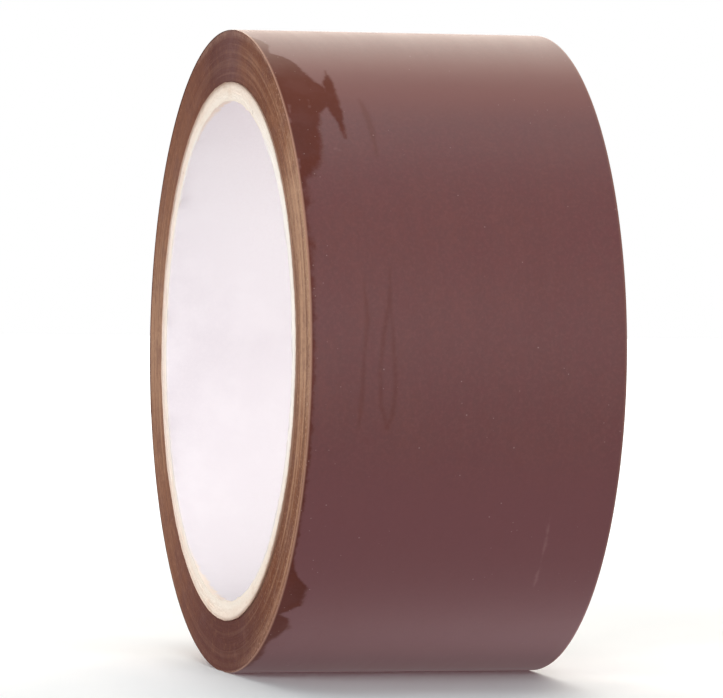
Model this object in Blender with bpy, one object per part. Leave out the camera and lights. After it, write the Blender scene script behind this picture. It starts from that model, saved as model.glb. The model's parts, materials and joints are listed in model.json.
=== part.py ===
"""A roll of brown packing tape on a spiral-wound paperboard core, at its real size.

Frame: metres, +Z up. The origin is the centre of the core's bore and +Y runs along the
roll's axis, so the roll stands on its tread one outer radius below the origin. An angle
round the roll is in radians, measured from +X towards +Z.

The core is a white paper liner and five board plies. Each is a strip wound in a helix, so a
slice of the core shows one slanting butt seam in each. The tape is one strip about 50 m long
in some 177 laps. Its last lap ends in the free end, which peels up on a hinge.
"""

import math

import bmesh
import bpy
from mathutils import Matrix, Vector

MM = 0.001
TURN = 2 * math.pi

# Driving dimensions
TAPE_WIDTH = 48.0 * MM
ROLL_RADIUS = 48.7 * MM
BORE_RADIUS = 38.0 * MM
CORE_WIDTH = 47.8 * MM  # the core stands 0.1 mm back from the tape on each side

# The core's strips
LINER_THICKNESS = 0.25 * MM
BOARD_THICKNESS = 0.46 * MM
BOARD_PLIES = 5
GLUE_LINE = 0.04 * MM  # the gap from each ply to the next, and to the tape
STRIP_WIDTH = 110.0 * MM  # of each strip, before it is wound
SEAM_GAP = 0.3 * MM  # between a strip's two edges where they butt
SEAM_STAGGER = math.radians(67)  # from one ply's seam to the next

# The tape
FILM = 0.045 * MM  # the thickness of film and adhesive together
LAP_GAP = 0.02 * MM  # between the last lap and the laps under it
CUT_GAP = 0.3 * MM  # between the last lap and the free end, and past the free edge

# The roll is faceted into flat columns. One lies level at the bottom, so it stands steady.
COLUMNS = 64
COLUMN = TURN / COLUMNS
FIRST_COLUMN = COLUMN / 2
FREE_EDGE = FIRST_COLUMN + 34 * COLUMN  # where the strip's cut edge lies, behind the roll
PEEL_HINGE = FREE_EDGE - 6 * COLUMN  # where the free end bends when it is lifted

LINER_COLOUR = (0.86, 0.84, 0.86)
BOARD_COLOUR = (0.80, 0.67, 0.54)
TAPE_COLOUR = (0.16, 0.075, 0.068)


def on_roll(radius, angle, y):
    """The point at that radius and angle round the roll's axis."""
    return (radius * math.cos(angle), y, radius * math.sin(angle))


def make_material(name, colour, roughness):
    material = bpy.data.materials.new(name)
    material.use_nodes = True
    shader = material.node_tree.nodes["Principled BSDF"]
    shader.inputs["Base Color"].default_value = (*colour, 1.0)
    shader.inputs["Roughness"].default_value = roughness
    shader.inputs["Metallic"].default_value = 0.0
    material.diffuse_color = (*colour, 1.0)
    return material


def section_angles(start, stop):
    """start, each line between two columns after it, and stop, unless that closes the turn."""
    angles = [start]
    line = FIRST_COLUMN + COLUMN * math.ceil((start - FIRST_COLUMN) / COLUMN)
    while line < stop - COLUMN / 1000:
        if line > start + COLUMN / 1000:
            angles.append(line)
        line += COLUMN
    if not math.isclose(stop - start, TURN):
        angles.append(stop)
    return angles


def swept_band(name, material, width, start, stop, inner, outer, advance=0.0):
    """A band of rectangular section, swept round the axis from the angle start to stop.

    inner and outer give its radii from the angle, and advance is how far it moves along the
    axis for each radian. A band swept through one whole turn closes into a ring.
    """
    angles = section_angles(start, stop)
    closes = math.isclose(stop - start, TURN)
    mesh = bmesh.new()
    sections = []
    for angle in angles:
        near, far = (advance * (angle - start) + side for side in (-width / 2, width / 2))
        corners = ((inner, near), (outer, near), (outer, far), (inner, far))
        sections.append([mesh.verts.new(on_roll(radius(angle), angle, y)) for radius, y in corners])
    following = sections[1:] + sections[: 1 if closes else 0]
    for here, there in zip(sections, following):
        for corner in range(4):
            after = (corner + 1) % 4
            mesh.faces.new((here[corner], here[after], there[after], there[corner]))
    if not closes:
        mesh.faces.new(sections[0])
        mesh.faces.new(sections[-1])
    bmesh.ops.recalc_face_normals(mesh, faces=mesh.faces)
    data = bpy.data.meshes.new(name)
    mesh.to_mesh(data)
    mesh.free()
    data.materials.append(material)
    data.shade_smooth()
    data.set_sharp_from_angle(angle=math.radians(30))
    band = bpy.data.objects.new(name, data)
    bpy.context.scene.collection.objects.link(band)
    return band


def cut_seam(ply, inner, outer, start):
    """Cuts the slanting seam where the two edges of a ply's strip butt, one turn apart."""
    lead_angle = math.asin(STRIP_WIDTH / (math.pi * (inner + outer)))
    pitch = STRIP_WIDTH / math.cos(lead_angle)
    overrun = 1.0 * MM  # how far the cutter stands past the ply's ends and faces
    cutter = swept_band(
        ply.name + "_seam_cutter",
        ply.data.materials[0],
        SEAM_GAP / math.cos(lead_angle),
        start,
        start + TURN * (CORE_WIDTH + 2 * overrun) / pitch,
        lambda angle: inner - overrun,
        lambda angle: outer + overrun,
        advance=pitch / TURN,
    )
    cutter.location.y = -CORE_WIDTH / 2 - overrun
    cutter.hide_render = True
    cutter.display_type = "WIRE"
    seam = ply.modifiers.new("butt_seam", "BOOLEAN")
    seam.operation = "DIFFERENCE"
    seam.solver = "EXACT"
    seam.object = cutter


def make_core():
    """Makes the liner and the board plies, and returns the radius that the tape starts at."""
    liner = make_material("liner", LINER_COLOUR, 0.7)
    board = make_material("board", BOARD_COLOUR, 0.85)
    strips = [("core_liner", LINER_THICKNESS, liner)]
    for number in range(1, BOARD_PLIES + 1):
        strips.append((f"core_board_ply_{number}", BOARD_THICKNESS, board))
    inner = BORE_RADIUS
    for order, (name, thickness, material) in enumerate(strips):
        outer = inner + thickness
        ply = swept_band(
            name,
            material,
            CORE_WIDTH,
            FIRST_COLUMN,
            FIRST_COLUMN + TURN,
            lambda angle, radius=inner: radius,
            lambda angle, radius=outer: radius,
        )
        cut_seam(ply, inner, outer, order * SEAM_STAGGER)
        inner = outer + GLUE_LINE
    return inner


def winding_radius(angle):
    """The outside of the laps under the last one, a spiral that gains one film in a turn."""
    at_free_edge = ROLL_RADIUS - 2 * FILM - LAP_GAP
    return at_free_edge + FILM * (angle - FREE_EDGE) / TURN


def last_lap_inside(angle):
    return winding_radius(angle) + LAP_GAP


def last_lap_outside(angle):
    return last_lap_inside(angle) + FILM


def make_tape(start_radius):
    """Makes the winding, the last lap over it, and the free end that the last lap runs into."""
    tape = make_material("tape", TAPE_COLOUR, 0.35)
    swept_band(
        "tape_winding",
        tape,
        TAPE_WIDTH,
        FREE_EDGE,
        FREE_EDGE + TURN,
        lambda angle: start_radius,
        winding_radius,
    )
    stretches = (
        ("tape_last_lap", FREE_EDGE, PEEL_HINGE + TURN),
        ("tape_free_end", PEEL_HINGE + TURN, FREE_EDGE + TURN),
    )
    half_cut = CUT_GAP / 2 / ROLL_RADIUS
    for name, start, stop in stretches:
        start += half_cut
        stop -= half_cut
        film = swept_band(name, tape, TAPE_WIDTH, start, stop, last_lap_inside, last_lap_outside)
    # The free end, made last, turns about the middle of the film where it leaves the last lap.
    hinge = Vector(on_roll(last_lap_inside(PEEL_HINGE + TURN) + FILM / 2, PEEL_HINGE, 0.0))
    film.data.transform(Matrix.Translation(-hinge))
    film.location = hinge


def main():
    for leftover in list(bpy.data.objects):
        bpy.data.objects.remove(leftover)
    make_tape(make_core())


main()
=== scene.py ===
"""The looks of a roll of brown packing tape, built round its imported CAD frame.

The roll's axis is +Y through the origin, and +Z is up. Angles round the roll are measured
from +X towards +Z. Shapes are worked out in millimetres and turned into metres when a mesh
is made, and every mesh keeps its millimetres at rest in the attribute rest_mm for its
material to read.
"""

import json
import math

import bmesh
import bpy
import numpy as np
from mathutils import Matrix, Vector, noise


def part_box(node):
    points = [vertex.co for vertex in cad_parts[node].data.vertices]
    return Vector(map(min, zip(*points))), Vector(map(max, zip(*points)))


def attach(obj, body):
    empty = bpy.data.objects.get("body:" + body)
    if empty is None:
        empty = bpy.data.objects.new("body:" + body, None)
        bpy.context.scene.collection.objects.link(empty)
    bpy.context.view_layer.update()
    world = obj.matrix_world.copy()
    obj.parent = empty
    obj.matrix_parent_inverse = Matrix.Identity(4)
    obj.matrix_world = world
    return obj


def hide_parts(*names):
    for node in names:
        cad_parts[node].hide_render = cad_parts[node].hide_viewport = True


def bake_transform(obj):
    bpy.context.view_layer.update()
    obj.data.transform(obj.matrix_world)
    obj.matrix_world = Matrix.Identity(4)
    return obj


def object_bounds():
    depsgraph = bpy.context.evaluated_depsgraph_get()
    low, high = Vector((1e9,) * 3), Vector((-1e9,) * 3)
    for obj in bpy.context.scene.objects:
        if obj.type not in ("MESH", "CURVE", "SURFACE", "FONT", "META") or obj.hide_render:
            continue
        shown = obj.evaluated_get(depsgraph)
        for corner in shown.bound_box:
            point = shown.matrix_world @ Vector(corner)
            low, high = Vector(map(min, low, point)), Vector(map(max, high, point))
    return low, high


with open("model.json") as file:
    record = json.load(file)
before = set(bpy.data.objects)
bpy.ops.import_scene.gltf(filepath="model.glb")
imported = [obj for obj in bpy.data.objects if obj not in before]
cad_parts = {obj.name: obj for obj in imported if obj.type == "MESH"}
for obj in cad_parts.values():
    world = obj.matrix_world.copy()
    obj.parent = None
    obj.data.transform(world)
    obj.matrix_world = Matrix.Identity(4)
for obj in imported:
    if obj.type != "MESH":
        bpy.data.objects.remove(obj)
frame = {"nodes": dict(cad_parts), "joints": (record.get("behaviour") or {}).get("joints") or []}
cad_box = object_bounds()

MM = 0.001
TURN = 2 * math.pi
CREASE_ANGLE = 40.0  # degrees between faces, above which an edge between them stays sharp
ROUND_COLUMNS = 480  # round the core and the winding

# Sizes in mm that the frame doesn't give
FILM = 0.045  # the tape's thickness
LAP_GAP = 0.02  # between the last lap and the laps under it
SEAM_GAP = 0.1  # between the butted edges of a core strip
STRIP_WIDTH = 110.0  # of a core strip, before it is wound
SEAM_STAGGER = math.radians(67)  # from one strip's seam to the next
BEND_LEAD = math.radians(2.0)  # how far before the hinge the free end's piece starts
END_LIFT = 0.10  # how far the tape's cut end stands off the roll
END_LIFT_REACH = 1.2  # how far back from the cut end that lift falls to a third


# ---------------------------------------------------------------- the frame's own sizes


def node_radii(node):
    """The least and greatest distance of a CAD node's corners from the roll's axis, in mm."""
    corners = [vertex.co for vertex in frame["nodes"][node].data.vertices]
    distances = [math.hypot(co.x, co.z) / MM for co in corners]
    return min(distances), max(distances)


def half_width(node):
    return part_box(node)[1].y / MM


BORE_RADIUS = node_radii("core_liner")[0]
CORE_RADIUS = node_radii("core_board_ply_5")[1]
PACK_START = node_radii("tape_winding")[0]
ROLL_RADIUS = node_radii("tape_free_end")[1]
TAPE_HALF = half_width("tape_winding")
CORE_HALF = half_width("core_liner")
JOINT = frame["joints"][0]
HINGE = Vector(JOINT["pos_m"])
HINGE_ANGLE = math.atan2(HINGE.z, HINGE.x)
FREE_EDGE_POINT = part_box("tape_free_end")[0]
FREE_EDGE_X = -math.sqrt((ROLL_RADIUS * MM) ** 2 - FREE_EDGE_POINT.z**2)
FREE_EDGE = TURN + math.atan2(FREE_EDGE_POINT.z, FREE_EDGE_X)


def pack_radius(angle):
    """The outside of the laps under the last one, which gains one film in the turn."""
    turned = (angle - FREE_EDGE) % TURN / TURN
    return ROLL_RADIUS - FILM - LAP_GAP - FILM * (1 - turned)


# ---------------------------------------------------------------- meshes


def fractal(x, y, z, octaves=3):
    """Smooth noise, mostly between -1 and 1, the same on every run."""
    return noise.fractal(Vector((x, y, z)), 0.6, 2.0, octaves)


def around(radius, angle, y):
    return (radius * math.cos(angle), y, radius * math.sin(angle))


def add_object(name, data):
    made = bpy.data.objects.new(name, data)
    bpy.context.scene.collection.objects.link(made)
    return made


def outward_data(name, mesh):
    """Mesh data from a bmesh, with its faces turned outwards."""
    bmesh.ops.recalc_face_normals(mesh, faces=mesh.faces)
    data = bpy.data.meshes.new(name)
    mesh.to_mesh(data)
    mesh.free()
    return data


def finish_mesh(name, mesh, materials, sharp=CREASE_ANGLE):
    """Makes the piece from a bmesh in metres."""
    return finish_data(name, outward_data(name, mesh), materials, sharp)


def finish_data(name, data, materials, sharp=CREASE_ANGLE):
    """Makes the piece from mesh data in metres, with its rest position kept in millimetres."""
    for material in materials:
        data.materials.append(material)
    data.shade_smooth()
    data.set_sharp_from_angle(angle=math.radians(sharp))
    rest = np.empty(len(data.vertices) * 3, np.float32)
    data.vertices.foreach_get("co", rest)
    kept = data.attributes.new("rest_mm", "FLOAT_VECTOR", "POINT")
    kept.data.foreach_set("vector", rest / MM)
    return add_object(name, data)


def loft(sections, closes):
    """A bmesh through sections of the same number of points, in mm, each a closed loop."""
    mesh = bmesh.new()
    rings = [[mesh.verts.new(Vector(point) * MM) for point in section] for section in sections]
    count = len(sections[0])
    for here, there in zip(rings, rings[1:] + rings[: 1 if closes else 0]):
        for index in range(count):
            after = (index + 1) % count
            mesh.faces.new((here[index], here[after], there[after], there[index]))
    if not closes:
        mesh.faces.new(rings[0])
        mesh.faces.new(reversed(rings[-1]))
    return mesh


# ---------------------------------------------------------------- materials


class Shader:
    """One material's node tree, made a node at a time round its Principled shader."""

    def __init__(self, name):
        self.material = bpy.data.materials.new(name)
        self.material.use_nodes = True
        self.nodes = self.material.node_tree.nodes
        self.links = self.material.node_tree.links
        self.surface = self.nodes["Principled BSDF"]

    def node(self, kind, inputs, output=0, **settings):
        made = self.nodes.new(kind)
        for name, value in settings.items():
            setattr(made, name, value)
        for socket, value in inputs.items():
            self.feed(made.inputs[socket], value)
        return made.outputs[output]

    def feed(self, socket, value):
        if isinstance(value, bpy.types.NodeSocket):
            self.links.new(value, socket)
        else:
            socket.default_value = value

    def set(self, **values):
        """Feeds the Principled shader's sockets, named with underscores for spaces."""
        for name, value in values.items():
            self.feed(self.surface.inputs[name.replace("_", " ")], value)

    def math(self, operation, *values):
        return self.node("ShaderNodeMath", dict(enumerate(values)), operation=operation)

    def plus(self, first, second):
        return self.math("ADD", first, second)

    def minus(self, first, second):
        return self.math("SUBTRACT", first, second)

    def times(self, first, second):
        return self.math("MULTIPLY", first, second)

    def over(self, first, second):
        return self.math("DIVIDE", first, second)

    def most(self, first, second):
        return self.math("MAXIMUM", first, second)

    def cells(self, vector, scale):
        """The distance from the nearest of many scattered points."""
        inputs = {"Vector": vector, "Scale": scale, "Randomness": 1.0}
        return self.node("ShaderNodeTexVoronoi", inputs, "Distance")

    def attribute(self, name, output):
        return self.node("ShaderNodeAttribute", {}, output, attribute_name=name)

    def combine(self, x, y, z):
        return self.node("ShaderNodeCombineXYZ", {0: x, 1: y, 2: z})

    def noise(self, vector, scale, detail=3.0, roughness=0.55):
        inputs = {"Vector": vector, "Scale": scale, "Detail": detail, "Roughness": roughness}
        return self.node("ShaderNodeTexNoise", inputs, "Fac")

    def span(self, value, low, high, start=0.0, end=1.0):
        """value carried from the range low..high to start..end, smoothly, and held outside."""
        inputs = {"Value": value, 1: low, 2: high, 3: start, 4: end}
        return self.node("ShaderNodeMapRange", inputs, "Result", interpolation_type="SMOOTHSTEP")

    def ramp(self, share, stops):
        """The colour at a share from 0 to 1 along stops of place and colour."""
        made = self.nodes.new("ShaderNodeValToRGB")
        self.feed(made.inputs[0], share)
        elements = made.color_ramp.elements
        elements.remove(elements[0])
        elements[0].position, elements[0].color = stops[0]
        for place, colour in stops[1:]:
            elements.new(place).color = colour
        return made.outputs["Color"]

    def mix(self, share, first, second):
        """Two colours mixed, where share is 0 for the first and 1 for the second."""
        made = self.nodes.new("ShaderNodeMix")
        made.data_type = "RGBA"
        for socket, value in ((0, share), (6, first), (7, second)):
            self.feed(made.inputs[socket], value)
        return made.outputs[2]

    def bump(self, height, distance_mm, strength=1.0):
        inputs = {"Height": height, "Distance": distance_mm * MM, "Strength": strength}
        self.feed(self.surface.inputs["Normal"], self.node("ShaderNodeBump", inputs))

    def rest(self):
        """The rest position's x, y and z in mm, and its distance from the roll's axis."""
        position = self.attribute("rest_mm", "Vector")
        split = self.nodes.new("ShaderNodeSeparateXYZ")
        self.links.new(position, split.inputs[0])
        x, y, z = split.outputs
        squares = self.plus(self.times(x, x), self.times(z, z))
        return position, x, y, z, self.math("SQRT", squares)


def rgb(red, green, blue):
    return (red, green, blue, 1.0)


# The film's colours: hazy where air lies under it, clear where it has wetted out.
HAZE = rgb(0.142, 0.0520, 0.0495)
HAZE_STREAKS = rgb(0.127, 0.0465, 0.0450)
HAZE_MOTTLE = rgb(0.130, 0.0460, 0.0475)
HAZE_DAPPLE = rgb(0.122, 0.0480, 0.0480)
HAZE_GRAIN = rgb(0.165, 0.066, 0.062)
# painted light and shade on the haze: warmer high on the roll, cooler low, darker at the bottom
HAZE_PAINTED_WARM_HIGH = rgb(0.168, 0.0590, 0.0530)
HAZE_PAINTED_COOL_LOW = rgb(0.144, 0.0535, 0.0590)
HAZE_PAINTED_SHADE_LOWEST = rgb(0.112, 0.0400, 0.0440)
CLEAR = rgb(0.110, 0.031, 0.021)
CLEAR_MOTTLE = rgb(0.094, 0.030, 0.023)
CLEAR_GRAIN = rgb(0.125, 0.045, 0.040)
# painted light: the clear film's warmer tone high on the roll
CLEAR_PAINTED_WARM_HIGH = rgb(0.116, 0.0300, 0.0175)
SCRAPED = rgb(0.30, 0.17, 0.16)
DUST = rgb(0.55, 0.42, 0.40)
END_HAZE = rgb(0.220, 0.100, 0.090)
# painted highlights along the tape's cut end and its slit edges
END_CUT_HIGHLIGHT = rgb(0.420, 0.250, 0.185)
SLIT_EDGE_HIGHLIGHT = rgb(0.400, 0.225, 0.160)


def film_material():
    """The tape's outer face: hazy brown film, clearer where it has wetted out."""
    shader = Shader("brown_film")
    position, x, y, z, radius = shader.rest()
    contact, crease, scuff, from_end = (
        shader.attribute(name, "Fac") for name in ("contact_mm", "crease_mm", "scuff_mm", "end_mm")
    )

    # where air lies under the film: all but the wetted patches, the creases and faint clouds
    fray = shader.times(shader.minus(shader.noise(position, 0.5, 5.0, 0.65), 0.5), 1.3)
    wet = shader.span(shader.plus(contact, fray), -0.35, 0.40)
    wet = shader.times(wet, shader.span(shader.noise(position, 0.22, 3.0), 0.36, 0.58, 0.86, 1.0))
    line = shader.span(shader.plus(crease, shader.times(fray, 0.3)), -0.45, 0.32, 0.0, 0.32)
    clouds = shader.span(shader.noise(position, 0.45, 4.0, 0.65), 0.50, 0.80, 0.0, 0.10)
    open_air = shader.minus(1.0, shader.most(wet, shader.plus(line, clouds)))

    # machine-direction streaks run round the roll, over mottling, dapples and fine grain
    streak_at = shader.combine(shader.times(x, 0.03), shader.times(y, 0.55), shader.times(z, 0.03))
    streaks = shader.noise(streak_at, 1.0, 4.0, 0.6)
    mottle = shader.noise(position, 0.12, 5.0, 0.6)
    dapple = shader.noise(position, 0.7, 4.0, 0.7)
    grain = shader.noise(position, 1.7, 3.0, 0.75)
    haze = shader.mix(shader.span(streaks, 0.3, 0.7), HAZE_STREAKS, HAZE)
    haze = shader.mix(shader.span(mottle, 0.3, 0.7), haze, HAZE_MOTTLE)
    haze = shader.mix(shader.span(dapple, 0.35, 0.65, 0.0, 0.8), haze, HAZE_DAPPLE)
    haze = shader.mix(shader.span(grain, 0.40, 0.75, 0.0, 0.5), haze, HAZE_GRAIN)

    # the haze is cooler low on the roll and warmer high on it: a painted warm highlight high up, a
    # painted cool shade low down, and painted shade at the very bottom
    turn_z = shader.over(z, radius)
    haze = shader.mix(shader.span(turn_z, -0.15, -0.50, 0.0, 0.7), haze, HAZE_PAINTED_COOL_LOW)
    high = shader.times(shader.span(turn_z, 0.70, 0.82), shader.span(turn_z, 0.88, 0.98, 1.0, 0.0))
    haze = shader.mix(shader.times(high, 0.9), haze, HAZE_PAINTED_WARM_HIGH)
    haze = shader.mix(shader.span(turn_z, -0.88, -0.95, 0.0, 0.6), haze, HAZE_PAINTED_SHADE_LOWEST)

    clear = shader.mix(shader.span(mottle, 0.3, 0.7), CLEAR, CLEAR_MOTTLE)
    clear = shader.mix(shader.span(grain, 0.45, 0.75, 0.0, 0.25), clear, CLEAR_GRAIN)
    # painted warm highlight: the clear film is warmer high on the roll
    clear = shader.mix(shader.span(turn_z, 0.68, 0.82, 0.0, 0.8), clear, CLEAR_PAINTED_WARM_HIGH)
    colour = shader.mix(open_air, clear, haze)

    scraped = shader.span(shader.plus(scuff, fray), -0.30, 0.25)
    colour = shader.mix(shader.times(scraped, 0.32), colour, SCRAPED)

    # specks of dust lie everywhere, and finer ones in drifts and by the front edge
    specks = shader.span(shader.cells(position, 0.30), 0.020, 0.045, 1.0, 0.0)
    fine_specks = shader.span(shader.cells(position, 0.75), 0.04, 0.09, 1.0, 0.0)
    drifts = shader.span(shader.noise(position, 0.11, 2.0), 0.52, 0.66)
    by_front = shader.span(y, -TAPE_HALF, -TAPE_HALF + 9.0, 1.0, 0.0)
    dust = shader.most(specks, shader.times(fine_specks, shader.most(drifts, by_front)))
    colour = shader.mix(shader.times(dust, 0.28), colour, DUST)

    # the film is paler near its cut end, and painted highlights run along the cut end and the slit
    # edges, strongest by the front edge
    colour = shader.mix(shader.span(from_end, 0.5, 6.0, 0.35, 0.0), colour, END_HAZE)
    colour = shader.mix(shader.span(from_end, 0.10, 0.45, 0.6, 0.0), colour, END_CUT_HIGHLIGHT)
    from_edge = shader.minus(TAPE_HALF, shader.math("ABSOLUTE", y))
    corner = shader.span(from_edge, 0.08, 0.40, 0.8, 0.0)
    corner = shader.times(corner, shader.span(y, -TAPE_HALF, TAPE_HALF, 1.0, 0.3))
    colour = shader.mix(corner, colour, SLIT_EDGE_HIGHLIGHT)

    shader.set(Base_Color=colour, IOR=1.12, Coat_Roughness=0.42, Coat_IOR=1.7)
    shader.set(Coat_Weight=shader.span(open_air, 0.0, 1.0, 0.0, 0.36))
    rough = shader.minus(0.42, shader.times(wet, 0.10))
    shader.set(Roughness=shader.plus(rough, shader.times(shader.minus(streaks, 0.5), 0.12)))
    shader.bump(shader.plus(shader.times(streaks, 0.6), shader.times(grain, 0.25)), 0.03, 0.6)
    return shader.material


ADHESIVE = rgb(0.150, 0.052, 0.034)
ADHESIVE_BLOTCH = rgb(0.115, 0.034, 0.024)


def adhesive_material():
    """The tape's inner face, coated with a glossy adhesive."""
    shader = Shader("brown_adhesive")
    position = shader.rest()[0]
    blotches = shader.noise(position, 0.35, 4.0)
    ripples = shader.noise(position, 1.6, 3.0)
    colour = shader.mix(shader.span(blotches, 0.35, 0.65), ADHESIVE, ADHESIVE_BLOTCH)
    shader.set(Base_Color=colour, IOR=1.48)
    shader.set(Roughness=shader.span(blotches, 0.3, 0.7, 0.16, 0.30))
    shader.bump(ripples, 0.05, 0.5)
    return shader.material


# The lap edges' colours, and where each is found round the roll, in degrees: the tan to left and
# right is a painted sheen, and the dark wine at the bottom is painted shade.
TAN = rgb(0.405, 0.234, 0.149)
FAWN = rgb(0.258, 0.116, 0.068)
UMBER = rgb(0.240, 0.098, 0.050)
BROWN = rgb(0.190, 0.073, 0.045)
RUSSET = rgb(0.178, 0.060, 0.030)
RUST = rgb(0.220, 0.083, 0.039)
MADDER = rgb(0.167, 0.053, 0.024)
DARK_RED = rgb(0.122, 0.043, 0.034)
WINE = rgb(0.106, 0.034, 0.027)
DUSKY = rgb(0.160, 0.072, 0.066)
# painted shade in the grooves and painted glints on the lap lines
GROOVE_SHADE = rgb(0.150, 0.062, 0.038)
LINE_GLINT = rgb(0.540, 0.325, 0.205)
# painted glints on the lap edges
GLINT_FLECK = rgb(0.640, 0.450, 0.350)
PALE_OUTER_BAND = rgb(0.440, 0.245, 0.165)
# painted highlight along the outer rim
RIM_HIGHLIGHT = rgb(0.500, 0.320, 0.240)
LIGHT_AND_TONE_ROUND_THE_EDGES = (
    (-180, TAN), (-150, FAWN), (-125, BROWN), (-105, DARK_RED), (-93, WINE), (-72, WINE),
    (-50, MADDER), (-20, RUST), (-3, TAN), (34, TAN), (45, UMBER), (64, RUSSET), (77, BROWN),
    (90, DUSKY), (104, DARK_RED), (118, BROWN), (152, FAWN), (180, TAN),
)  # fmt: skip


def lap_edge_material():
    """The cut edges of the laps on the roll's two sides: painted paler to left and right as a
    painted sheen, and darker at the bottom as painted shade.
    """
    shader = Shader("brown_lap_edges")
    position, x, _, z, radius = shader.rest()
    turn_x, turn_z = (shader.over(axis, radius) for axis in (x, z))

    def rings(per_mm, round_the_roll, detail, offset):
        at = shader.combine(
            shader.times(radius, per_mm),
            shader.math("MULTIPLY_ADD", turn_x, round_the_roll, offset),
            shader.times(turn_z, round_the_roll),
        )
        return shader.noise(at, 1.0, detail, 0.6)

    def facing(degrees):
        """1 where the roll's edge points this way from its axis, and -1 opposite."""
        across = shader.times(turn_x, math.cos(math.radians(degrees)))
        return shader.math("MULTIPLY_ADD", turn_z, math.sin(math.radians(degrees)), across)

    bands = rings(0.52, 0.4, 2.0, 0.0)
    lines = rings(1.2, 1.0, 4.0, 7.0)
    fine = rings(9.0, 14.0, 2.0, 3.0)
    patches = shader.noise(position, 0.20, 3.0)
    flecks = shader.noise(position, 2.1, 2.0, 0.6)
    blots = shader.noise(position, 0.60, 4.0, 0.65)
    grain = shader.noise(position, 1.5, 4.0, 0.72)

    # the colour goes round the roll, with a painted sheen to left and right and painted shade at
    # the bottom, and is broken by patches and blots
    wander = shader.times(shader.minus(patches, 0.5), 0.05)
    turned = shader.math("MULTIPLY_ADD", shader.math("ARCTAN2", z, x), 1 / TURN, 0.5)
    stops = [((angle + 180) / 360, colour) for angle, colour in LIGHT_AND_TONE_ROUND_THE_EDGES]
    colour = shader.ramp(shader.plus(turned, wander), stops)
    colour = shader.mix(shader.span(patches, 0.50, 0.66, 0.0, 0.30), colour, DUSKY)
    colour = shader.mix(shader.span(blots, 0.55, 0.33, 0.0, 0.30), colour, DARK_RED)
    colour = shader.mix(shader.span(blots, 0.50, 0.70, 0.0, 0.25), colour, FAWN)

    # the lap lines are painted paler and darker by direction, most of all to the right: painted
    # glints on the laps that stand proud, and painted shade in the grooves between them
    lined_left = shader.span(facing(185), 0.2, 1.0, 0.0, 0.6)
    lined = shader.most(shader.span(facing(8), 0.0, 0.95, 0.18, 1.0), lined_left)
    banded = shader.span(facing(-8), 0.70, 0.97, 0.10, 1.0)
    darker = (
        (banded, bands, 0.40, 0.47, 0.55),
        (lined, lines, 0.39, 0.47, 0.45),
        (lined, grain, 0.34, 0.47, 0.40),
    )
    for where, rough, low, high, weight in darker:
        dark = shader.times(where, shader.span(rough, low, high, weight, 0.0))
        colour = shader.mix(dark, colour, GROOVE_SHADE)
    paler = (
        (banded, bands, 0.52, 0.60, 0.40),
        (lined, lines, 0.53, 0.62, 0.32),
        (lined, fine, 0.50, 0.72, 0.25),
        (lined, grain, 0.53, 0.68, 0.35),
    )
    for where, rough, low, high, weight in paler:
        light = shader.times(where, shader.span(rough, low, high, 0.0, weight))
        colour = shader.mix(light, colour, LINE_GLINT)

    # painted glints: small pale flecks to the right, most of them near the outside
    glint_flecks = shader.span(flecks, 0.58, 0.70, 0.0, 0.40)
    glint_flecks = shader.times(glint_flecks, shader.span(facing(0), 0.1, 0.7))
    by_outside = shader.span(radius, ROLL_RADIUS - 4.0, ROLL_RADIUS - 0.5, 0.35, 1.0)
    colour = shader.mix(shader.times(glint_flecks, by_outside), colour, GLINT_FLECK)

    # the outermost laps are paler at the lower right
    inset = shader.minus(ROLL_RADIUS, radius)
    pale_band = shader.span(facing(-48), 0.83, 0.985)
    pale_band = shader.times(pale_band, shader.span(grain, 0.40, 0.60, 0.25, 1.0))
    pale_band = shader.times(pale_band, shader.span(inset, 0.4, 2.6, 0.35, 0.0))
    colour = shader.mix(pale_band, colour, PALE_OUTER_BAND)
    # painted highlight: a pale line along the outer rim, strongest to the right and at the top,
    # broken along its length
    top = facing(93)
    rim = shader.over(inset, shader.span(top, 0.85, 0.99, 0.40, 1.5))
    rim = shader.span(rim, 0.3, 1.0, 0.75, 0.0)
    rim_lit_right = shader.span(facing(-5), -0.05, 0.5, 0.15, 1.0)
    rim_lit_top = shader.span(top, 0.85, 0.99, 0.0, 0.45)
    rim = shader.times(rim, shader.most(rim_lit_right, rim_lit_top))
    broken = shader.span(shader.noise(position, 0.9, 4.0, 0.7), 0.38, 0.60, 0.35, 1.0)
    colour = shader.mix(shader.times(rim, broken), colour, RIM_HIGHLIGHT)

    shader.set(Base_Color=colour, Specular_IOR_Level=0.15)
    shader.set(Roughness=shader.span(fine, 0.3, 0.7, 0.6, 0.8))
    height = shader.plus(shader.times(lines, lined), shader.times(flecks, 0.35))
    shader.bump(height, 0.16, 1.0)
    return shader.material


# The colours of the core's board, its lining and the floor.
BOARD = rgb(0.95, 0.835, 0.72)
BOARD_FIBRE = rgb(0.88, 0.74, 0.62)
BOARD_STAIN = rgb(0.82, 0.64, 0.50)
BOARD_PINKISH = rgb(0.880, 0.755, 0.690)
BOARD_PALE = rgb(0.975, 0.910, 0.810)
BOARD_PALEST = rgb(0.960, 0.920, 0.885)
BOARD_BROWN_RIM = rgb(0.300, 0.155, 0.098)
# painted shade and light on the lining: greyer near the front, brighter deep in
LINER_SHADED_NEAR = rgb(0.715, 0.680, 0.712)
LINER_LIT_FAR = rgb(0.995, 0.972, 0.988)
LINER_CLOUD = rgb(0.935, 0.915, 0.930)
LINER_FIBRE = rgb(0.84, 0.80, 0.815)
LINER_TORN = rgb(0.94, 0.83, 0.71)
FLOOR = rgb(0.893, 0.955, 0.980)
FLOOR_GRAIN = rgb(0.908, 0.970, 0.995)
WHITE = rgb(1.0, 1.0, 1.0)


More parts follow.
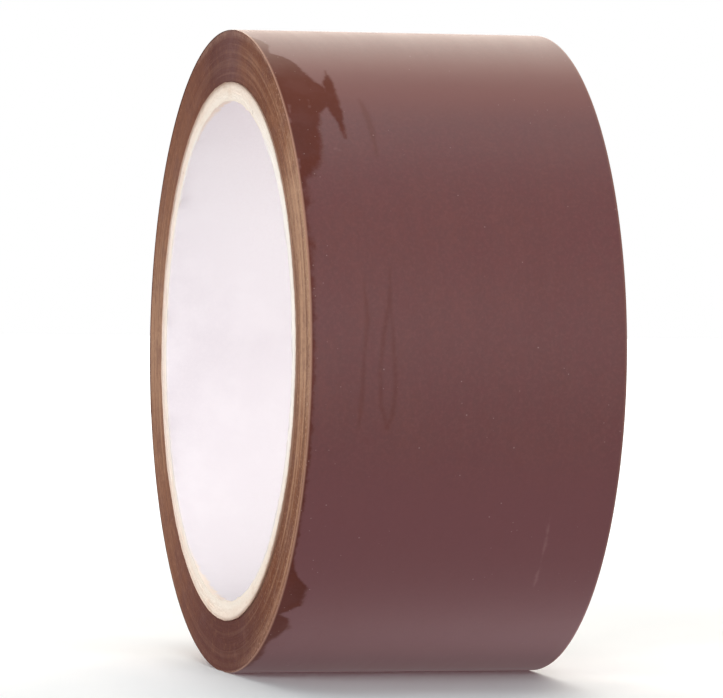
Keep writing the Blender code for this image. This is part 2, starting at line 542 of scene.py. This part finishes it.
def board_material():
    """The cut edge of the core's board: pale, fibrous, a little stained."""
    shader = Shader("cream_board")
    position, x, _, z, radius = shader.rest()
    turn_x, turn_z = (shader.over(axis, radius) for axis in (x, z))
    fibres = shader.noise(position, 3.5, 4.0, 0.7)
    stains = shader.noise(position, 0.28, 4.0, 0.6)
    colour = shader.mix(shader.span(fibres, 0.35, 0.65), BOARD, BOARD_FIBRE)
    colour = shader.mix(shader.span(stains, 0.48, 0.70, 0.0, 0.60), colour, BOARD_STAIN)

    # pinker to the left, and paler inwards and to the right
    leftward = shader.span(turn_x, -0.30, -0.90, 0.0, 0.50)
    colour = shader.mix(leftward, colour, BOARD_PINKISH)
    inward = shader.span(radius, BORE_RADIUS + 0.5, CORE_RADIUS - 1.0, 0.50, 0.0)
    upper_right = shader.math("MULTIPLY_ADD", turn_z, 0.26, shader.times(turn_x, 0.97))
    rightward = shader.span(upper_right, 0.45, 0.95, 0.0, 0.80)
    colour = shader.mix(shader.most(inward, rightward), colour, BOARD_PALE)
    inmost = shader.span(radius, BORE_RADIUS + 0.4, BORE_RADIUS + 2.2, 0.95, 0.0)
    colour = shader.mix(shader.times(inmost, rightward), colour, BOARD_PALEST)

    # the outer edge is brown, furthest in to the right
    frays = shader.times(shader.minus(fibres, 0.5), 0.5)
    inset = shader.plus(shader.minus(CORE_RADIUS, radius), frays)
    upper_left = shader.math("MULTIPLY_ADD", turn_z, 0.866, shader.times(turn_x, -0.5))
    inset = shader.minus(inset, shader.span(upper_left, 0.4, 1.0, 0.0, 0.35))
    lower_right = shader.math("MULTIPLY_ADD", turn_z, -0.174, shader.times(turn_x, 0.985))
    nearest = shader.span(lower_right, -0.1, 1.05, -0.70, 0.45)
    furthest = shader.span(lower_right, -0.1, 1.05, 0.60, 1.30)
    colour = shader.mix(shader.span(inset, nearest, furthest, 0.9, 0.0), colour, BOARD_BROWN_RIM)

    shader.set(Base_Color=colour, Specular_IOR_Level=0.2)
    shader.set(Roughness=shader.span(fibres, 0.3, 0.7, 0.80, 0.95))
    shader.bump(fibres, 0.12, 0.8)
    return shader.material


def liner_material():
    """The core's white paper lining, cool white with faint clouds of fibre."""
    shader = Shader("white_liner")
    position, _, y, z, radius = shader.rest()
    clouds = shader.noise(position, 0.11, 5.0, 0.6)
    fibres = shader.noise(position, 2.2, 5.0, 0.7)

    # it is greyer near the front, least of all at the top and bottom: painted shade near the front,
    # and painted light deeper in
    uphill = shader.most(shader.times(z, 0.90), shader.times(z, -0.58))
    deep = shader.span(shader.plus(y, uphill), -CORE_HALF, CORE_HALF)
    colour = shader.mix(deep, LINER_SHADED_NEAR, LINER_LIT_FAR)
    colour = shader.mix(shader.span(clouds, 0.40, 0.70, 0.0, 0.22), colour, LINER_CLOUD)
    colour = shader.mix(shader.span(fibres, 0.40, 0.70, 0.0, 0.20), colour, LINER_FIBRE)

    # the white is torn away along its ends, furthest in at the top and bottom
    from_end = shader.minus(CORE_HALF, shader.math("ABSOLUTE", y))
    upright = shader.math("ABSOLUTE", shader.over(z, radius))
    reach = shader.span(upright, 0.80, 1.0, 0.4, 2.4)
    ragged = shader.times(shader.noise(position, 0.8, 5.0, 0.7), reach)
    torn = shader.span(shader.minus(from_end, ragged), -0.7, 0.1, 1.0, 0.0)
    colour = shader.mix(torn, colour, LINER_TORN)

    shader.set(Base_Color=colour, Specular_IOR_Level=0.3)
    shader.set(Roughness=shader.span(fibres, 0.3, 0.7, 0.55, 0.7))
    shader.bump(fibres, 0.03, 0.6)
    return shader.material


def floor_material():
    """A pale floor that brightens to the backdrop's white away from the roll."""
    shader = Shader("pale_floor")
    place = shader.node("ShaderNodeNewGeometry", {}, "Position")
    grain = shader.noise(place, 90.0, 3.0)
    away = shader.node("ShaderNodeVectorMath", {0: place}, "Value", operation="LENGTH")
    glow = shader.span(away, 0.12, 0.45, 0.0, 0.25)
    shader.set(Base_Color=shader.mix(grain, FLOOR, FLOOR_GRAIN))
    shader.set(Emission_Color=WHITE, Emission_Strength=glow)
    shader.set(Roughness=shader.span(grain, 0.3, 0.7, 0.75, 0.9))
    return shader.material


# ---------------------------------------------------------------- the core


def helix_cutter(inner, outer, start):
    """The slanting seam where a strip's edges butt, as the CAD cuts it: a swept slot, in mm."""
    lead = math.asin(STRIP_WIDTH / (math.pi * (inner + outer)))
    pitch = STRIP_WIDTH / math.cos(lead)
    overrun = 1.0
    low, high = inner - overrun, outer + overrun
    width = SEAM_GAP / math.cos(lead)
    travel = 2 * (CORE_HALF + overrun)
    steps = 120
    sections = []
    for step in range(steps + 1):
        y = travel * step / steps
        angle = start + TURN * y / pitch
        near, far = (y - CORE_HALF - overrun + side for side in (-width / 2, width / 2))
        corners = ((low, near), (high, near), (high, far), (low, far))
        sections.append([around(radius, angle, place) for radius, place in corners])
    return add_object("cutter", outward_data("cutter", loft(sections, closes=False)))


def core_strip(name, node, order, material, along=1, edge_steps=5, burr=False, tattered=False):
    """One strip of the core: a tube with rough cut ends and a slanting butt seam.

    A burr is pushed out over the tape's edge, and a tattered strip is torn back on its inside.
    """
    inner, outer = node_radii(node)
    radii = [inner + (outer - inner) * step / edge_steps for step in range(edge_steps + 1)]
    lengths = [-CORE_HALF + 2 * CORE_HALF * step / along for step in range(1, along)]
    sections = []
    for column in range(ROUND_COLUMNS):
        angle = TURN * column / ROUND_COLUMNS
        x, z = math.cos(angle), math.sin(angle)

        def end(side):
            points = []
            for radius in radii:
                rough = 0.06 * fractal(radius * 2.5, 30 * x + 9 * side, 30 * z)
                slow = 0.05 * fractal(order * 3.1 + side, 3 * x, 3 * z)
                coarse = fractal(order + side, 6 * x, 6 * z)
                tatter = 0.5 * max(0.0, coarse + 0.5 * fractal(side, 26 * x, 26 * z))
                inward = tatter * (outer - radius) / (outer - inner) if tattered else 0.0
                points.append(around(radius - inward, angle, side * (CORE_HALF + slow + rough)))
            if burr:
                coarse = 0.22 * fractal(order + side, 5 * x, 5 * z)
                lip = max(0.0, coarse + 0.10 * fractal(side, 22 * x, 22 * z))
                reach = TAPE_HALF + 0.03 + 0.2 * lip
                points[-1] = around(radii[-1] + 0.03 + lip, angle, side * reach)
            return points

        loop = end(-1)
        if burr:
            loop += [around(radii[-1], angle, side * (CORE_HALF - 0.3)) for side in (-1, 1)]
        loop += end(1)[::-1]
        for y in reversed(lengths):
            wave = 0.03 * fractal(x * 2.2, y / 16, z * 2.2)
            loop.append(around(inner + wave, angle, y))
        sections.append(loop)
    ring = finish_mesh(name + "_whole", loft(sections, closes=True), [])
    cutter = helix_cutter(inner, outer, order * SEAM_STAGGER)
    cut = ring.modifiers.new("seam", "BOOLEAN")
    cut.operation = "DIFFERENCE"
    cut.solver = "EXACT"
    cut.object = cutter
    bpy.context.view_layer.update()
    evaluated = ring.evaluated_get(bpy.context.evaluated_depsgraph_get())
    data = bpy.data.meshes.new_from_object(evaluated)
    for scratch in (ring, cutter):
        bpy.data.objects.remove(scratch)
    data.name = name
    data.attributes.remove(data.attributes["rest_mm"])
    piece = finish_data(name, data, [material])
    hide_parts(node)
    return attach(piece, "roll")


def make_core():
    board = board_material()
    paper = liner_material()
    liner = core_strip("liner_paper", "core_liner", 0, paper, along=40, edge_steps=3, tattered=True)
    for number in range(1, 6):
        node = f"core_board_ply_{number}"
        ply = core_strip(f"board_ply_{number}", node, number, board, burr=number == 5)


# ---------------------------------------------------------------- the winding


def lap_relief(radius, angle, side):
    """How far the laps stand in from the roll's side face, in mm, at a radius and angle."""
    x, z = math.cos(angle), math.sin(angle)
    bands = 0.05 * fractal(radius * 0.7, x * 0.8 + 20 * side, z * 0.8)
    steps = 0.05 * fractal(radius * 2.4, x * 1.2 + 40 * side, z * 1.2)
    ridges = 0.035 * fractal(radius * 5.5, x * 2.5 + 60 * side, z * 2.5, 2)
    lined = 0.25 + 0.75 * max(0.0, x) ** 0.5 + 0.45 * max(0.0, -x) ** 0.5
    inside = 0.12 * math.exp(-(radius - PACK_START) / 0.15)
    outside = 0.03 * math.exp(-(ROLL_RADIUS - radius) / 0.12)
    return 0.10 - lined * (bands + steps + ridges) + inside + outside


def make_winding(film, laps):
    """The laps under the last one: two ridged side faces, a tread and the inside."""
    rings = 120
    across = np.linspace(-TAPE_HALF + 0.5, TAPE_HALF - 0.5, 24)
    sections = []
    for column in range(ROUND_COLUMNS):
        angle = TURN * column / ROUND_COLUMNS
        outer = pack_radius(angle)
        radii = [PACK_START + (outer - PACK_START) * ring / rings for ring in range(rings + 1)]
        front = [around(r, angle, -TAPE_HALF + lap_relief(r, angle, -1)) for r in radii]
        back = [around(r, angle, TAPE_HALF - lap_relief(r, angle, 1)) for r in radii]
        tread = [around(outer, angle, y) for y in across]
        sections.append(front + tread + back[::-1])
    mesh = loft(sections, closes=True)
    winding = finish_mesh("tape_laps", mesh, [laps, film], sharp=60.0)
    for polygon in winding.data.polygons:
        middle = polygon.center / MM
        outside = math.hypot(middle.x, middle.z) > ROLL_RADIUS - 3 * FILM
        polygon.material_index = int(outside and abs(middle.y) < TAPE_HALF - 0.3)
    dress(winding, TURN * ROLL_RADIUS)
    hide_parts("tape_winding")
    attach(winding, "roll")


# ---------------------------------------------------------------- the film's marks

# How far the film has wetted out from the roll's front edge, in mm, by the angle in degrees.
WETTED_FROM_FRONT = (
    (-79, -0.6), (-76, 0.7), (-66, 1.1), (-61, 0.7), (-58, 1.9), (-55, 3.1), (-52, 2.5),
    (-50.5, 0.8), (-48, 3.6), (-43, 3.8), (-40.5, 1.8), (-38, 0.9), (-34, 0.6), (-12, 0.7),
    (10, 0.6), (25, 0.8), (30, 0.9), (33, 1.3), (35, 2.8), (37, 4.1), (44, 4.6), (47, 5.1),
    (49, 5.9), (51, 7.2), (55, 7.4), (57, 6.1), (59, 5.4), (62, 4.7), (64.5, 3.9), (66.5, 2.6),
    (67.5, 1.3), (69, 1.3), (71, 1.9), (74, 1.6), (77, 0.2), (80, -0.6), (95, -0.9),
)  # fmt: skip
# Marks as chains of points: angle in degrees, distance from the front edge, half width.
WETTED_SPIKE = ((61, 8.4, 0.1), (57, 8.0, 0.6), (52, 7.5, 1.2), (47, 7.9, 0.8), (42, 8.2, 0.15))
CREASES = (
    ((52, 11.9, 0.15), (48, 12.3, 0.5), (43, 12.5, 0.4), (38, 12.4, 0.15)),
    ((17, 12.3, 0.0), (11, 12.0, 0.3), (5, 11.0, 0.25), (-1, 10.5, 0.2), (-7, 10.8, 0.25),
     (-11, 12.0, 0.2)),
    ((12, 12.1, 0.0), (3, 12.5, 0.2), (-4, 12.9, 0.25), (-9, 12.6, 0.3), (-11, 11.8, 0.2)),
    ((14, 8.2, 0.0), (8, 8.6, 0.3), (0, 8.0, 0.2), (-6, 7.9, 0.35), (-11, 7.6, 0.1)),
)  # fmt: skip
SCUFFS = (
    ((-27, 38.0, 0.1), (-33, 38.5, 0.25), (-38, 38.6, 0.1), (-43, 38.3, 0.2)),
    ((51.5, 4.0, 0.1), (49.5, 3.9, 0.0)),
    ((50, 0.9, 0.1), (48, 0.7, 0.0)),
    ((47, 0.1, 0.3), (46, 0.3, 0.2)),
    ((39.6, 6.3, 0.15), (39.2, 6.9, 0.1)),
    ((37, 0.3, 0.2), (35.5, 0.4, 0.2)),
)


def depth_in_chain(chain, degrees, across):
    """How deep points lie inside a tapering chain of strokes, in mm, and below 0 outside."""
    per_degree = math.radians(ROLL_RADIUS)
    along = degrees * per_degree
    depth = np.full(np.shape(across), -99.0)
    for (a0, s0, w0), (a1, s1, w1) in zip(chain, chain[1:]):
        start = np.array((a0 * per_degree, s0))
        way = np.array((a1 * per_degree, s1)) - start
        share = ((along - start[0]) * way[0] + (across - start[1]) * way[1]) / (way @ way)
        share = np.clip(share, 0, 1)
        off = np.hypot(along - start[0] - share * way[0], across - start[1] - share * way[1])
        depth = np.maximum(depth, w0 + (w1 - w0) * share - off)
    return depth


def wetted_depth(degrees, across):
    """How deep points lie inside the wetted-out patches, in mm, and below 0 outside."""
    angles, widths = zip(*WETTED_FROM_FRONT)
    front = np.interp(degrees, angles, widths)
    softness = np.interp(degrees, (-50, -40, 34, 54), (0.6, 1.0, 0.3, 1.0))

    # round the back and along the far edge, out of the photograph, the patches are made up
    turned = [math.radians(angle) for angle in degrees]
    hidden = [1.6 * fractal(math.cos(angle) * 3, 5.0, math.sin(angle) * 3) for angle in turned]
    hidden = np.array(hidden) - 0.5
    unseen = np.clip(np.maximum(degrees - 95, -79 - degrees) / 8, 0, 1)
    front = front * (1 - unseen) + 2.5 * hidden * unseen
    back = 2.0 * hidden[::-1] - (2 * TAPE_HALF - across)
    patches = np.maximum(front - across, back) * softness
    return np.maximum(patches, depth_in_chain(WETTED_SPIKE, degrees, across))


def dress(piece, to_end):
    """Stores where the film's marks and its cut end lie, for its material to read."""
    data = piece.data
    rest = np.empty(len(data.vertices) * 3, np.float32)
    data.attributes["rest_mm"].data.foreach_get("vector", rest)
    rest = rest.reshape(-1, 3).astype(float)
    degrees = np.degrees(np.arctan2(rest[:, 2], rest[:, 0]))
    across = rest[:, 1] + TAPE_HALF
    marks = {
        "end_mm": np.broadcast_to(to_end, across.shape),
        "contact_mm": wetted_depth(degrees, across),
        "crease_mm": np.max([depth_in_chain(chain, degrees, across) for chain in CREASES], axis=0),
        "scuff_mm": np.max([depth_in_chain(chain, degrees, across) for chain in SCUFFS], axis=0),
    }
    for name, depth in marks.items():
        stored = data.attributes.new(name, "FLOAT", "POINT")
        stored.data.foreach_set("value", depth.astype(np.float32))


def film_relief(angle, y):
    """How far the film's outer face stands out from a true cylinder, in mm."""
    x, z = math.cos(angle), math.sin(angle)
    swell = 0.012 * fractal(x * 2.5, y / 14, z * 2.5)
    pucker = 0.005 * fractal(x * 9, y / 2.5, z * 9)
    edge = min(y + TAPE_HALF, TAPE_HALF - y)
    fall = 0.02 * math.exp(-max(edge, 0.0) / 0.08)
    return swell + pucker - fall


def film_columns():
    """Where the film's columns lie across its width, closest by the front edge's marks."""
    edge = [0.0, 0.02, 0.06, 0.12, 0.25]
    marked = list(np.arange(0.5, 15.0, 0.3))
    rest = list(np.arange(15.0, 2 * TAPE_HALF - 0.9, 0.9))
    far = [2 * TAPE_HALF - step for step in reversed(edge)]
    return [column - TAPE_HALF for column in edge + marked + rest + far]


def film_strip(name, start, stop, rows, materials):
    """A stretch of the last turn, from one angle to another."""
    columns = film_columns()
    under = np.linspace(TAPE_HALF, -TAPE_HALF, 25)
    sections = []
    to_end = []  # each row's distance from the cut end along the film, in mm
    for row in range(rows + 1):
        angle = start + (stop - start) * row / rows
        outer = ROLL_RADIUS - FILM * (1 - (angle - FREE_EDGE) / TURN)
        to_end.append((FREE_EDGE + TURN - angle) * ROLL_RADIUS)
        lift = END_LIFT * math.exp(-to_end[-1] / END_LIFT_REACH)
        loop = [around(outer + film_relief(angle, y) + lift, angle, y) for y in columns]
        loop += [around(outer - FILM + lift, angle, y) for y in under]
        sections.append(loop)
    mesh = loft(sections, closes=False)
    strip = finish_mesh(name, mesh, materials, sharp=50.0)
    for polygon in strip.data.polygons:
        middle = Vector(np.mean([strip.data.vertices[v].co for v in polygon.vertices], axis=0))
        outward = Vector((middle.x, 0, middle.z)).normalized()
        facing = polygon.normal.dot(outward)
        polygon.material_index = 0 if facing > 0.5 else 1 if facing < -0.5 else 2
    dress(strip, np.repeat(to_end, len(columns) + len(under)))
    return strip


def make_film(film, adhesive, laps):
    """The last lap and the free end past it, which meet just before the hinge."""
    bend_start = HINGE_ANGLE + TURN - BEND_LEAD
    lap = film_strip("film_last_lap", FREE_EDGE, bend_start, 640, [film, adhesive, laps])
    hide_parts("tape_last_lap")
    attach(lap, "roll")
    end = film_strip("film_free_end", bend_start, FREE_EDGE + TURN, 90, [film, adhesive, laps])
    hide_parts("tape_free_end")
    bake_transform(end)


# ---------------------------------------------------------------- the studio

CAMERA_AZIMUTH = 74.18  # degrees from the roll's front face towards its tread
CAMERA_ELEVATION = 2.0
CAMERA_ROLL = math.radians(0.91)
CAMERA_DISTANCE = 0.9726  # metres from the origin
SENSOR_WIDTH = 36.0
FOCAL_LENGTH = 317.4
LENS_SHIFT = (-0.0237, 0.0043)  # in sensor widths, across and up
FLOOR_REACH = 1.5  # metres from the origin
LIGHT_SPREAD = 45.0
# Each softbox: its azimuth and elevation from the camera, its spread, its strength and colour.
SOFTBOXES = {
    "front": (0.0, 8.0, LIGHT_SPREAD, 1.5, (1.0, 0.98, 0.99)),
    "side": (-45.0, 8.0, LIGHT_SPREAD, 1.93, (1.0, 0.995, 1.0)),
    "back": (175.0, 29.5, 51.0, 1.97, (1.0, 0.865, 0.745)),
    "top": (0.0, 90.0, LIGHT_SPREAD, 0.95, (1.0, 0.985, 0.96)),
    "under": (135.0, -40.0, LIGHT_SPREAD, 2.12, (1.0, 0.80, 0.84)),
}


def way_from_camera(azimuth, elevation):
    """A direction by its degrees round from the camera's azimuth and up from the floor."""
    turn, lift = math.radians(CAMERA_AZIMUTH + azimuth), math.radians(elevation)
    flat = math.cos(lift)
    return Vector((math.sin(turn) * flat, -math.cos(turn) * flat, math.sin(lift)))


def add_softbox(name, azimuth, elevation, spread, strength, colour):
    """A very wide, even light that faces the roll, placed by angles from the camera."""
    data = bpy.data.lights.new(name, "SUN")
    data.angle = math.radians(spread)
    data.energy = strength
    data.color = colour
    lamp = add_object(name, data)
    way = way_from_camera(azimuth, elevation)
    lamp.location = way
    lamp.rotation_mode = "QUATERNION"
    lamp.rotation_quaternion = (-way).to_track_quat("-Z", "Y")


def make_camera():
    """The photograph's view: along the tread, from a little above the roll's middle."""
    back = way_from_camera(0.0, CAMERA_ELEVATION)
    right = (-back).cross(Vector((0, 0, 1))).normalized()
    up = right.cross(-back)
    tilted_right = math.cos(CAMERA_ROLL) * right + math.sin(CAMERA_ROLL) * up
    tilted_up = -math.sin(CAMERA_ROLL) * right + math.cos(CAMERA_ROLL) * up
    data = bpy.data.cameras.new("camera")
    data.sensor_width = SENSOR_WIDTH
    data.lens = FOCAL_LENGTH
    data.shift_x, data.shift_y = LENS_SHIFT
    data.clip_end = 50.0
    camera = add_object("camera", data)
    turn = Matrix((tilted_right, tilted_up, back)).transposed().to_4x4()
    camera.matrix_world = Matrix.Translation(back * CAMERA_DISTANCE) @ turn
    bpy.context.scene.camera = camera


def make_world():
    """A backdrop that looks white to the camera and lights the roll only weakly."""
    world = bpy.data.worlds.new("white_studio")
    world.use_nodes = True
    nodes, links = world.node_tree.nodes, world.node_tree.links
    background = nodes["Background"]
    background.inputs["Color"].default_value = WHITE
    light_path = nodes.new("ShaderNodeLightPath")
    strength = nodes.new("ShaderNodeMapRange")
    strength.inputs["To Min"].default_value = 0.3
    strength.inputs["To Max"].default_value = 1.0
    links.new(light_path.outputs["Is Camera Ray"], strength.inputs["Value"])
    links.new(strength.outputs["Result"], background.inputs["Strength"])
    bpy.context.scene.world = world


def make_floor():
    """The floor under the roll, which shows and takes shadows but throws no light back."""
    level = cad_box[0].z
    square = ((-1, -1), (1, -1), (1, 1), (-1, 1))
    corners = [(x * FLOOR_REACH, y * FLOOR_REACH, level) for x, y in square]
    data = bpy.data.meshes.new("floor")
    data.from_pydata(corners, [], [(0, 1, 2, 3)])
    data.materials.append(floor_material())
    floor = add_object("floor", data)
    floor.visible_diffuse = floor.visible_glossy = floor.visible_shadow = False


def make_studio():
    view = bpy.context.scene.view_settings
    view.view_transform = "Standard"
    view.look = "None"
    make_world()
    make_floor()
    for name, softbox in SOFTBOXES.items():
        add_softbox(name, *softbox)


def main():
    film = film_material()
    adhesive = adhesive_material()
    laps = lap_edge_material()
    make_core()
    make_winding(film, laps)
    make_film(film, adhesive, laps)
    make_studio()
    make_camera()


main()
